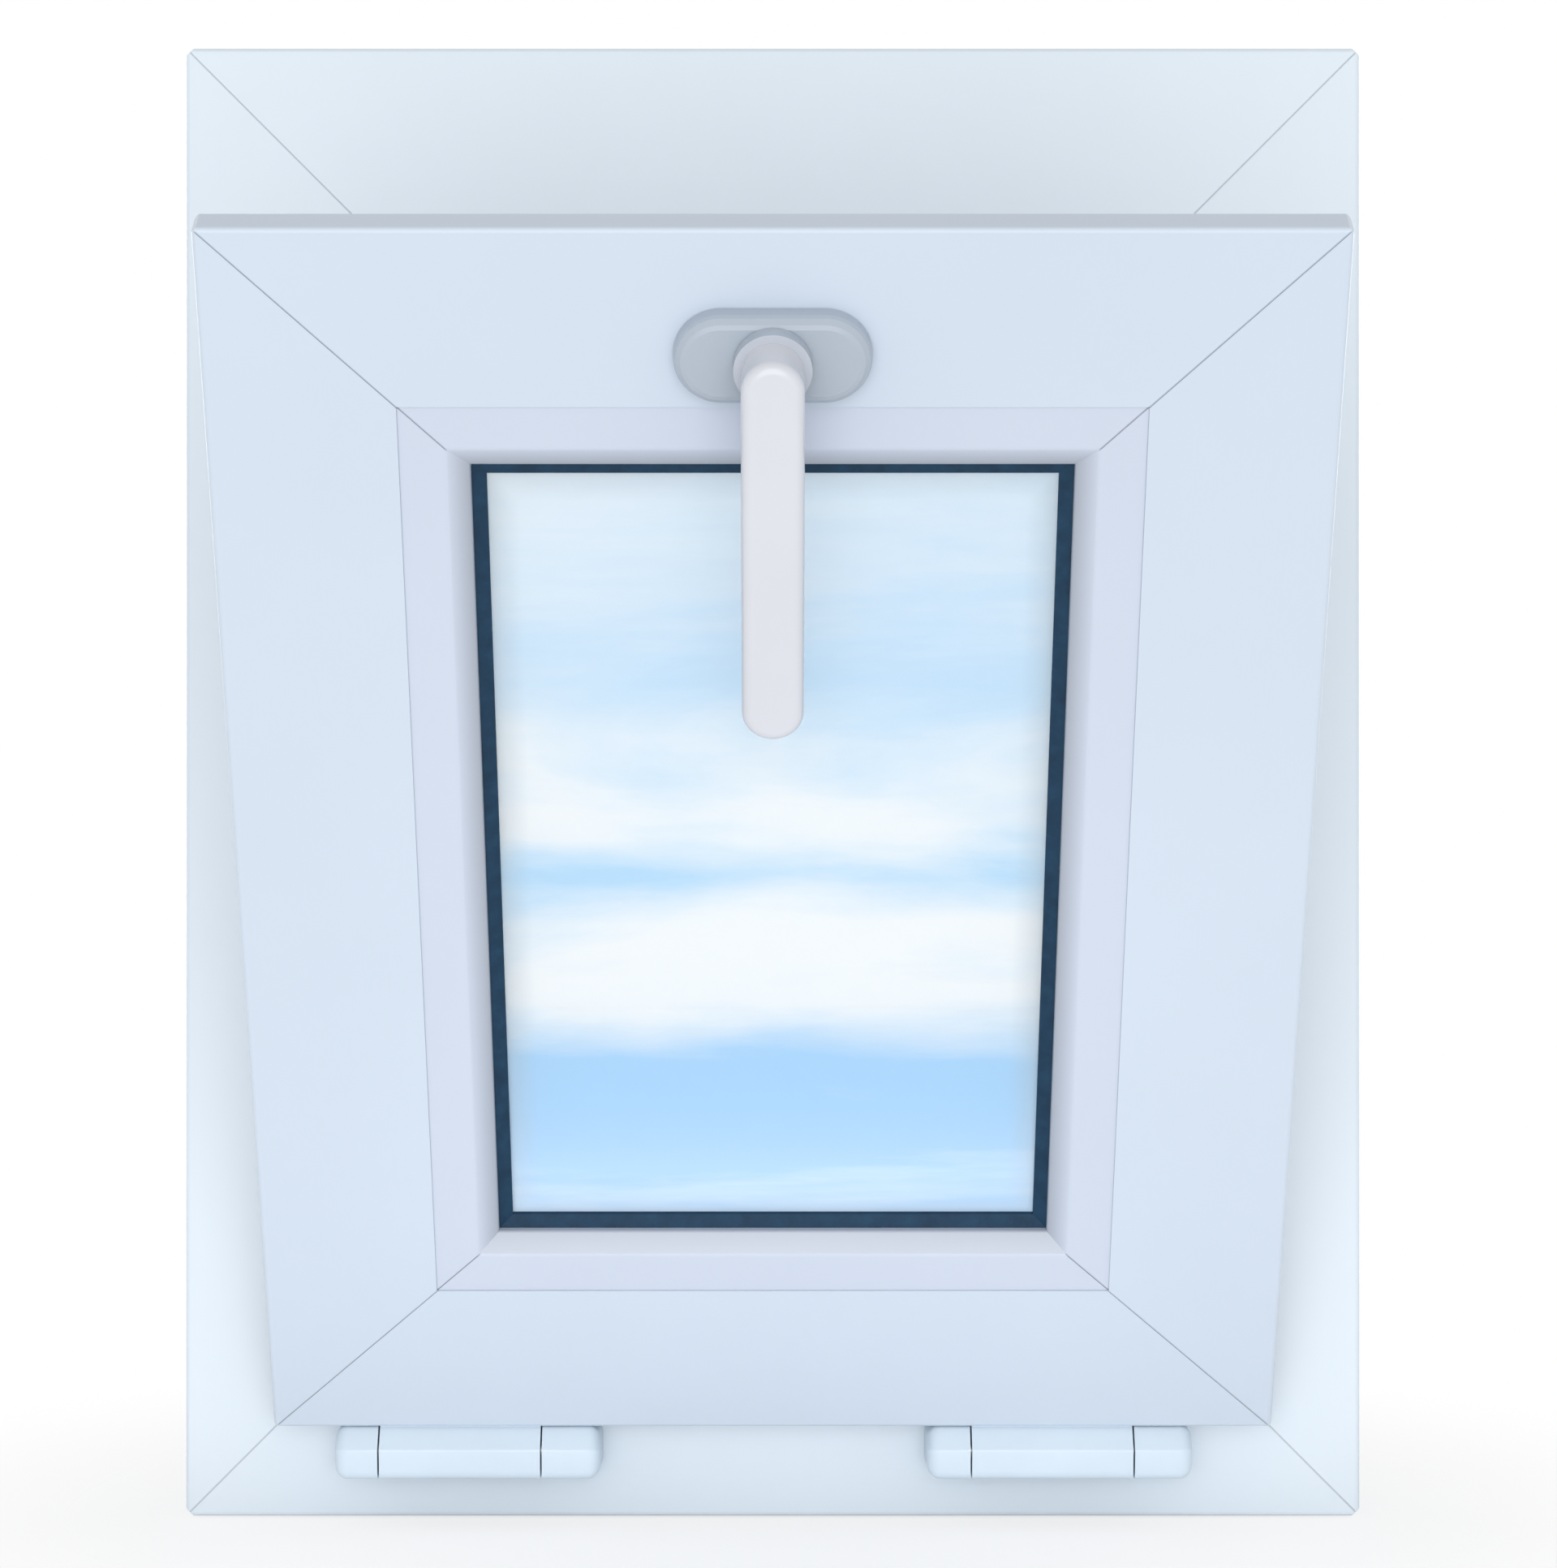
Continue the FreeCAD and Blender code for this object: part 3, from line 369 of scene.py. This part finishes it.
def plated_steel(name, colour, brushed_along=(1, 1, 1)):
    """Zinc-plated steel with spangle and handling marks."""
    finish = Finish(name)
    spangle = finish.noise(scale=120, detail=4)
    brushed = finish.noise(scale=900, detail=2, roughness=0.5, stretch=brushed_along)
    return finish.dress(
        Base_Color=finish.mottle(spangle, colour, dark=0.85, light=1.1, start=0.35),
        Roughness=finish.spread(finish.mean(spangle, brushed), low=0.24, high=0.48),
        Normal=finish.relief(brushed, distance=0.04 * MM, strength=0.4),
        Metallic=1.0,
    )


rubber = dark_rubber("dark glazing rubber")
cover = moulded_plastic("white hinge cover", COVER_WHITE)
zinc = plated_steel("zinc-plated steel", ZINC, BRUSHED_ALONG_X)
FINISHES = {
    "frame_head": extruded_plastic("white frame profile, level", FRAME_WHITE, "x", False),
    "frame_jamb_left": extruded_plastic("white frame profile, upright", FRAME_WHITE, "z", False),
    "sash_top_rail": extruded_plastic("white sash profile, level", SASH_WHITE, "x", True),
    "sash_stile_left": extruded_plastic("white sash profile, upright", SASH_WHITE, "z", True),
    "bead_top": extruded_plastic("white glazing bead, level", BEAD_WHITE, "x", True, SLOPE_SHADE_TO_GASKET),
    "bead_left": extruded_plastic("white glazing bead, upright", BEAD_WHITE, "z", True, SLOPE_SHADE_TO_GASKET),
    "bead_bottom": extruded_plastic("white glazing bead, dusty", BEAD_WHITE, "x", True, SLOPE_SHADE_ALL_OVER),
    "inner_pane": sky_reflection_glass("sky-hazed inner glass"),
    "outer_pane": clear_glass("clear outer glass"),
    "spacer_bar": plated_steel("spacer aluminium", ALUMINIUM),
    "handle_rose": moulded_plastic("pale grey rose", ROSE_GREY, True),
    "handle_lever": painted_lever("white lever coat", LEVER_WHITE, ROSE_GREY),
}
SAME_AS = {
    "frame_sill": "frame_head",
    "frame_jamb_right": "frame_jamb_left",
    "sash_bottom_rail": "sash_top_rail",
    "sash_stile_right": "sash_stile_left",
    "bead_right": "bead_left",
}


def finish_of(node):
    """The finish of a CAD node, by its name."""
    node = SAME_AS.get(node, node)
    if node in FINISHES:
        return FINISHES[node]
    if "gasket" in node or node.endswith("_seal"):
        return rubber
    if node.startswith("hinge_") and not node.endswith("_pin"):
        return cover
    return zinc


for name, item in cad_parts.items():
    item.data.materials.clear()
    item.data.materials.append(finish_of(name))

# Pieces made with Geometry Nodes: the screws of the ironwork and the bulb seals.
HEAD_SIDES = 24
HEAD_TAPER = 0.82
SEAL_CORNER_STEPS = 6


class Recipe(NodeTree):
    """A Geometry Nodes tree with named sizes, which turns a guide mesh into a finished piece."""

    SOCKETS = {
        "length": "NodeSocketFloat",
        "count": "NodeSocketInt",
        "place": "NodeSocketVector",
        "material": "NodeSocketMaterial",
    }

    def __init__(self, name, **inlets):
        super().__init__(bpy.data.node_groups.new(name, "GeometryNodeTree"))
        sockets = self.tree.interface
        sockets.new_socket("Guide", in_out="INPUT", socket_type="NodeSocketGeometry")
        sockets.new_socket("Piece", in_out="OUTPUT", socket_type="NodeSocketGeometry")
        self.keys = {}
        for label, kind in inlets.items():
            title = label.replace("_", " ").title()
            inlet = sockets.new_socket(title, in_out="INPUT", socket_type=self.SOCKETS[kind])
            self.keys[label] = inlet.identifier
        self.source = self.add("NodeGroupInput")

    def given(self, label):
        """The named input, or the guide mesh."""
        return self.source.outputs[label.replace("_", " ").title()]

    def end(self, geometry):
        """Joins the copies into one mesh with its finish and hands it out."""
        whole = self.step("GeometryNodeRealizeInstances", {"Geometry": geometry})
        dressed = self.step("GeometryNodeSetMaterial", {"Geometry": whole, "Material": self.given("finish")})
        self.step("NodeGroupOutput", {"Piece": dressed})

    def make(self, name, guide, body, slot, **values):
        """Lays the tree on a guide mesh, keeps the outcome as a plain mesh and rides it on a body."""
        piece = bpy.data.objects.new(name, guide)
        bpy.context.scene.collection.objects.link(piece)
        modifier = piece.modifiers.new("recipe", "NODES")
        modifier.node_group = self.tree
        for label, value in values.items():
            modifier[self.keys[label]] = value
        graph = bpy.context.evaluated_depsgraph_get()
        mesh = bpy.data.meshes.new_from_object(piece.evaluated_get(graph))
        piece.modifiers.clear()
        mesh.materials.clear()
        mesh.materials.append(values["finish"])
        mesh.polygons.foreach_set("material_index", [0] * len(mesh.polygons))
        piece.data = mesh
        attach(piece, body)
        return piece


def screw_recipe():
    """Low countersunk heads with a cross recess, one on each guide point, each turned its own way."""
    recipe = Recipe(
        "cross-head screws",
        head_radius="length",
        head_height="length",
        recess_width="length",
        recess_length="length",
        seed="count",
        finish="material",
    )
    radius = recipe.given("head_radius")
    height = recipe.given("head_height")
    rim = recipe.math("MULTIPLY", radius, HEAD_TAPER)
    head = recipe.step(
        "GeometryNodeMeshCone",
        {"Vertices": HEAD_SIDES, "Radius Top": rim, "Radius Bottom": radius, "Depth": height},
    )
    top = recipe.step("ShaderNodeCombineXYZ", {"Z": height})
    bar_size = recipe.step(
        "ShaderNodeCombineXYZ",
        {"X": recipe.given("recess_length"), "Y": recipe.given("recess_width"), "Z": height},
    )
    bars = []
    for turn in (0, math.pi / 2):
        bar = recipe.step("GeometryNodeMeshCube", {"Size": bar_size})
        place = {"Translation": top, "Rotation": (0, 0, turn)}
        bars.append(recipe.step("GeometryNodeTransform", {"Geometry": bar, **place}))
    head = recipe.step("GeometryNodeMeshBoolean", {"Mesh 1": head, "Mesh 2": bars}, operation="DIFFERENCE")
    facing = recipe.step("GeometryNodeInputNamedAttribute", {"Name": "facing"}, data_type="FLOAT_VECTOR")
    upright = recipe.step("FunctionNodeAlignRotationToVector", {"Vector": facing}, axis="Z")
    angle = recipe.step(
        "FunctionNodeRandomValue",
        {"Min": 0.0, "Max": math.pi, "Seed": recipe.given("seed")},
        data_type="FLOAT",
    )
    euler = recipe.step("ShaderNodeCombineXYZ", {"Z": angle})
    twist = recipe.step("FunctionNodeEulerToRotation", {"Euler": euler})
    turned = recipe.step(
        "FunctionNodeRotateRotation", {"Rotation": upright, "Rotate By": twist}, rotation_space="LOCAL"
    )
    points = recipe.step("GeometryNodeMeshToPoints", {"Mesh": recipe.given("guide")})
    recipe.end(
        recipe.step("GeometryNodeInstanceOnPoints", {"Points": points, "Instance": head, "Rotation": turned})
    )
    return recipe


def seal_recipe():
    """A seal section swept round a rectangle with rounded corners, then stood up and leaned."""
    recipe = Recipe(
        "bulb seal",
        width="length",
        height="length",
        corner="length",
        place="place",
        lean="place",
        finish="material",
    )
    section = recipe.step("GeometryNodeMeshToCurve", {"Mesh": recipe.given("guide")})
    loop = recipe.step(
        "GeometryNodeCurvePrimitiveQuadrilateral",
        {"Width": recipe.given("width"), "Height": recipe.given("height")},
        mode="RECTANGLE",
    )
    loop = recipe.step(
        "GeometryNodeFilletCurve",
        {"Curve": loop, "Radius": recipe.given("corner"), "Count": SEAL_CORNER_STEPS},
        mode="POLY",
    )
    swept = recipe.step("GeometryNodeCurveToMesh", {"Curve": loop, "Profile Curve": section})
    recipe.end(
        recipe.step(
            "GeometryNodeTransform",
            {"Geometry": swept, "Translation": recipe.given("place"), "Rotation": recipe.given("lean")},
        )
    )
    return recipe


# Screws, in millimetres: places along the piece that they hold, and the face that they sit on.
STRIKER_SCREWS = (-11, 11)
STRIKER_SCREW_SHIFT = 2
STRIKER_BASE = 2
BRACKET_SCREWS = (-16, 16)
BRACKET_FACE = 135
FACEPLATE_SCREWS = (-97, -35, 35, 97)
FACEPLATE_DEPTH = 32
FACEPLATE_TOP = 405.1
SCREW_SEED = 7
FRAME_SCREW_RADIUS = 2.7 * MM
SASH_SCREW_RADIUS = 3.1 * MM


def screw_guide(name, places):
    """Loose points, each with the direction that its screw head faces."""
    guide = bpy.data.meshes.new(name)
    guide.from_pydata([place for place, facing in places], [], [])
    facings = guide.attributes.new("facing", "FLOAT_VECTOR", "POINT")
    for row, (place, facing) in zip(facings.data, places):
        row.vector = facing
    return guide


def frame_screw_places():
    """Screws that hold the strikers under the head and the stay brackets on the jambs."""
    places = []
    for side, name in ((-1, "left"), (1, "right")):
        low, high = (Vector(corner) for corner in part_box(f"striker_{name}"))
        middle = (low + high) / 2
        for along in STRIKER_SCREWS:
            place = (middle.x + along * MM, middle.y + STRIKER_SCREW_SHIFT * MM, high.z - STRIKER_BASE * MM)
            places.append((place, (0, 0, -1)))
        low, high = (Vector(corner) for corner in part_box(f"stay_bracket_{name}"))
        middle = (low + high) / 2
        for along in BRACKET_SCREWS:
            place = (side * BRACKET_FACE * MM, middle.y, middle.z + along * MM)
            places.append((place, (-side, 0, 0)))
    return places


def sash_screw_places():
    """Screws along the faceplate on the sash's top edge."""
    up = LEAN @ Vector((0, 0, 1))
    return [(on_sash(x, FACEPLATE_DEPTH, FACEPLATE_TOP), up) for x in FACEPLATE_SCREWS]


screws = screw_recipe()
SCREW = {
    "head_height": 0.8 * MM,
    "recess_width": 0.8 * MM,
    "recess_length": 3.2 * MM,
    "seed": SCREW_SEED,
    "finish": zinc,
}
frame_guide = screw_guide("frame screws", frame_screw_places())
screws.make("frame_screws", frame_guide, "frame", "steel", head_radius=FRAME_SCREW_RADIUS, **SCREW)
sash_guide = screw_guide("sash screws", sash_screw_places())
screws.make("sash_screws", sash_guide, "sash", "steel", head_radius=SASH_SCREW_RADIUS, **SCREW)

# Bulb seals: the section, and the loops that it runs round, with their sizes in millimetres.
SEAL_WIDTH = 5.5 * MM
SEAL_HEIGHT = 3.7 * MM
SEAL_CORNER = 4 * MM
FOOT_SHARE = 0.2
BULB_SHARE = 0.46
BULB_START = math.radians(-40)
BULB_SWEEP = math.radians(260)
BULB_STEPS = 14
FRAME_SEAL_SIZE = (244.5, 344.5)
FRAME_SEAL_PLACE = Vector((0, 11, 250)) * MM
SASH_SEAL_SIZE = (321.5, 421.5)
SASH_SEAL_PLACE = on_sash(0, 12, 227.1)


def seal_section(width, height):
    """Outline of a bulb on a flat foot."""
    foot = FOOT_SHARE * height
    bulb = BULB_SHARE * height
    outline = [(-width / 2, 0), (width / 2, 0), (width / 2, foot)]
    for i in range(BULB_STEPS + 1):
        angle = BULB_START + BULB_SWEEP * i / BULB_STEPS
        outline.append((bulb * math.cos(angle), height - bulb + bulb * math.sin(angle)))
    outline.append((-width / 2, foot))
    guide = bpy.data.meshes.new("seal section")
    count = len(outline)
    guide.from_pydata([(x, y, 0) for x, y in outline], [(i, (i + 1) % count) for i in range(count)], [])
    return guide


def bulb_seal(name, body, size, place, lean):
    """A seal on one body, round a loop of a width and height."""
    width, height = size
    return seals.make(
        name,
        seal_section(SEAL_WIDTH, SEAL_HEIGHT),
        body,
        "gasket",
        width=width * MM,
        height=height * MM,
        corner=SEAL_CORNER,
        place=place,
        lean=(lean, 0, 0),
        finish=rubber,
    )


seals = seal_recipe()
frame_bulb = bulb_seal("frame_bulb_seal", "frame", FRAME_SEAL_SIZE, FRAME_SEAL_PLACE, -math.pi / 2)
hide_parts("frame_seal")
sash_bulb = bulb_seal("sash_bulb_seal", "sash", SASH_SEAL_SIZE, SASH_SEAL_PLACE, TILT + math.pi / 2)
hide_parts("sash_seal")

# Hinge caps with full round ends, in place of the plainer ones. Depths and heights are from the hinge axis.
CAP_DEPTH = 16 * MM
CAP_RADIUS = 8.8 * MM
CAP_CREASE = 1.2 * MM
CAP_ROUND = 3 * MM
CAP_END_ROUND = 4.5 * MM
CAP_SHORT = 14.5 * MM
CAP_LONG = 19.5 * MM
CAP_PLATE = 2 * MM
ARC_STEPS = 6
END_STEPS = 7
SHARP_EDGE = math.radians(30)


def rounded_outline(corners):
    """Points round an outline of corners (y, z, radius), with an arc of a few steps at each rounding."""
    points = []
    for i, (y, z, radius) in enumerate(corners):
        tip = Vector((y, z))
        if not radius:
            points.append(tip)
            continue
        before = (Vector(corners[i - 1][:2]) - tip).normalized()
        after = (Vector(corners[(i + 1) % len(corners)][:2]) - tip).normalized()
        half_angle = before.angle(after) / 2
        centre = tip + (before + after).normalized() * radius / math.sin(half_angle)
        first = tip + before * radius / math.tan(half_angle) - centre
        last = tip + after * radius / math.tan(half_angle) - centre
        points += [centre + radius * first.slerp(last, k / ARC_STEPS) for k in range(ARC_STEPS + 1)]
    return points


def closed_rings(mesh, rings):
    """Adds a skin over rings of equal length, with both ends closed."""
    skin = bmesh.new()
    rows = [[skin.verts.new(point) for point in ring] for ring in rings]
    for near, far in zip(rows, rows[1:]):
        for i in range(len(near)):
            skin.faces.new((near[i - 1], near[i], far[i], far[i - 1]))
    skin.faces.new(rows[0])
    skin.faces.new(rows[-1])
    bmesh.ops.recalc_face_normals(skin, faces=skin.faces)
    skin.from_mesh(mesh)
    skin.to_mesh(mesh)
    skin.free()


def cap_rings(inner_end, outer_end, outline):
    """Rings along one cap, drawn in towards its outer end by a quarter of a circle."""
    outwards = math.copysign(1, outer_end - inner_end)
    rings = [[(inner_end, y, z) for y, z in outline]]
    for k in range(END_STEPS + 1):
        angle = math.pi / 2 * k / END_STEPS
        x = outer_end - outwards * CAP_END_ROUND * (1 - math.sin(angle))
        inset = CAP_END_ROUND * (1 - math.cos(angle))
        front = 1 - inset / (CAP_DEPTH + CAP_RADIUS)
        height = 1 - inset / CAP_RADIUS
        rings.append([(x, CAP_DEPTH + (y - CAP_DEPTH) * front, z * height) for y, z in outline])
    return rings


def round_hinge_caps(side):
    """The leaf on the frame of one hinge: a plate between a short and a long cap."""
    leaf = f"hinge_{side}_frame_leaf"
    low, high = (Vector(corner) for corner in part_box(leaf))
    outline = rounded_outline(
        [
            (CAP_DEPTH, -CAP_RADIUS, 0),
            (CAP_CREASE - CAP_RADIUS, -CAP_RADIUS, CAP_ROUND),
            (-CAP_RADIUS, CAP_CREASE, CAP_CREASE),
            (-CAP_RADIUS / 3, CAP_RADIUS, CAP_ROUND),
            (CAP_DEPTH, CAP_RADIUS, 0),
        ]
    )
    front, back = CAP_DEPTH - CAP_PLATE, CAP_DEPTH
    plate = [(front, -CAP_RADIUS), (back, -CAP_RADIUS), (back, CAP_RADIUS), (front, CAP_RADIUS)]
    plate_ends = (low.x + CAP_SHORT, high.x - CAP_LONG)
    mesh = bpy.data.meshes.new(f"hinge_{side}_round_caps")
    closed_rings(mesh, cap_rings(plate_ends[0], low.x, outline))
    closed_rings(mesh, cap_rings(plate_ends[1], high.x, outline))
    closed_rings(mesh, [[(x, y, z) for y, z in plate] for x in plate_ends])
    mesh.transform(Matrix.Translation(HINGE_AXIS))
    mesh.materials.append(cover)
    mesh.polygons.foreach_set("use_smooth", [True] * len(mesh.polygons))
    mesh.set_sharp_from_angle(angle=SHARP_EDGE)
    caps = bpy.data.objects.new(f"hinge_{side}_round_caps", mesh)
    bpy.context.scene.collection.objects.link(caps)
    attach(caps, "frame")
    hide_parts(leaf)


for side in ("left", "right"):
    round_hinge_caps(side)

# Stage: a pale floor that fades into the white surround, light from all round and soft lamps.
WHITE = (1, 1, 1, 1)
SURROUND_TINT = (0.97, 0.985, 1.0, 1)
SURROUND_LEVEL = 0.66
# The surround is brighter towards the room and below, and darker outdoors and above.
SURROUND_SLANT = (0, -0.22, -0.22)
FLOOR_WHITE = (0.97, 0.972, 0.978, 1)
FLOOR_RADIUS = 1.4
FLOOR_SIDES = 96
FLOOR_DROP = 0.0005
FLOOR_ROUGHNESS = 0.9
# Distances from the middle between which the floor fades out, and how far it is lifted to white for the eye.
FLOOR_FADE = (0.1, 0.4)
FLOOR_LIFT = 0.7
# The camera stands level and square to the frame; its framing is shifted by pixels of the photograph.
CAMERA_PLACE = (0, -1.559, 0.2549)
CAMERA_LENS = 103.06
SENSOR_WIDTH = 36
PHOTO_SHIFT = (7, -20)
PHOTO_HEIGHT = 1932


def ray_is_seen(tree):
    """One for camera, mirror and glass rays, nought for the rays that carry light."""
    path = tree.add("ShaderNodeLightPath")
    seen = path.outputs["Is Camera Ray"]
    for kind in ("Is Glossy Ray", "Is Transmission Ray"):
        seen = tree.math("MAXIMUM", seen, path.outputs[kind])
    return seen


def mixed_surface(tree, share, first, second):
    """First surface where the share is nought, second where it is one."""
    return tree.step("ShaderNodeMixShader", {0: share, 1: first, 2: second})


def studio_world():
    """White where it is seen, and a slanting level of light where it is not."""
    world = bpy.data.worlds.new("white surround")
    world.use_nodes = True
    tree = NodeTree(world.node_tree)
    ways = tree.add("ShaderNodeTexCoord").outputs["Generated"]
    slant = tree.step("ShaderNodeVectorMath", {0: ways, 1: SURROUND_SLANT}, operation="DOT_PRODUCT")
    lighting = world.node_tree.nodes["Background"]
    tree.feed(lighting, {"Color": SURROUND_TINT, "Strength": tree.math("ADD", slant, SURROUND_LEVEL)})
    white = tree.step("ShaderNodeBackground", {"Color": WHITE, "Strength": 1.0})
    surround = mixed_surface(tree, ray_is_seen(tree), lighting.outputs["Background"], white)
    tree.feed(world.node_tree.nodes["World Output"], {"Surface": surround})
    bpy.context.scene.world = world


def floor_material():
    """A pale floor, lifted towards white where it is seen, that fades out round the window."""
    material = bpy.data.materials.new("pale floor")
    material.use_nodes = True
    tree = NodeTree(material.node_tree)
    pale = material.node_tree.nodes["Principled BSDF"]
    tree.feed(pale, {"Base Color": FLOOR_WHITE, "Roughness": FLOOR_ROUGHNESS})
    place = tree.add("ShaderNodeTexCoord").outputs["Object"]
    distance = tree.step("ShaderNodeVectorMath", {0: place}, operation="LENGTH")
    start, end = FLOOR_FADE
    fade = tree.step(
        "ShaderNodeMapRange",
        {"Value": distance, "From Min": start, "From Max": end},
        interpolation_type="SMOOTHSTEP",
    )
    lift = tree.math("MULTIPLY", ray_is_seen(tree), FLOOR_LIFT)
    lifted = mixed_surface(tree, lift, pale.outputs["BSDF"], tree.step("ShaderNodeEmission"))
    faded = mixed_surface(tree, fade, lifted, tree.step("ShaderNodeBsdfTransparent"))
    tree.feed(material.node_tree.nodes["Material Output"], {"Surface": faded})
    return material


def studio_floor():
    """A disc just under the window, which takes its shadow."""
    bpy.ops.mesh.primitive_circle_add(
        vertices=FLOOR_SIDES, radius=FLOOR_RADIUS, fill_type="NGON", location=(0, 0, 0)
    )
    floor = bpy.context.object
    floor.name = "floor"
    floor.data.transform(Matrix.Translation((0, 0, -FLOOR_DROP)))
    floor.data.materials.append(floor_material())


def soft_lamp(name, place, target, size, power, beam=180):
    """A round lamp of a size in metres and a power in watts, with a beam of so many degrees."""
    data = bpy.data.lights.new(name, "AREA")
    data.shape = "DISK"
    data.size = size
    data.energy = power
    data.spread = math.radians(beam)
    lamp = bpy.data.objects.new(name, data)
    lamp.location = place
    lamp.rotation_euler = (Vector(target) - Vector(place)).to_track_quat("-Z", "Y").to_euler()
    bpy.context.scene.collection.objects.link(lamp)


def photograph_camera():
    """The camera that frames the window as in the photograph."""
    data = bpy.data.cameras.new("camera")
    data.lens = CAMERA_LENS
    data.sensor_width = SENSOR_WIDTH
    data.shift_x, data.shift_y = (pixels / PHOTO_HEIGHT for pixels in PHOTO_SHIFT)
    camera = bpy.data.objects.new("camera", data)
    camera.location = CAMERA_PLACE
    camera.rotation_euler = (math.pi / 2, 0, 0)
    bpy.context.scene.collection.objects.link(camera)
    bpy.context.scene.camera = camera


studio_world()
studio_floor()
soft_lamp("front", place=(-0.08, -4.4, 0.2), target=(0, -0.1, 0.25), size=4.0, power=76)
soft_lamp("low fill", place=(0, -0.75, 0.03), target=(0, -0.05, 0), size=0.4, power=0.095, beam=50)
for side in (-1, 1):
    soft_lamp("back", place=(side * 3.0, 3.2, 0.8), target=(0, 0, 0.25), size=2.0, power=35)
photograph_camera()
bpy.context.scene.view_settings.view_transform = "Standard"
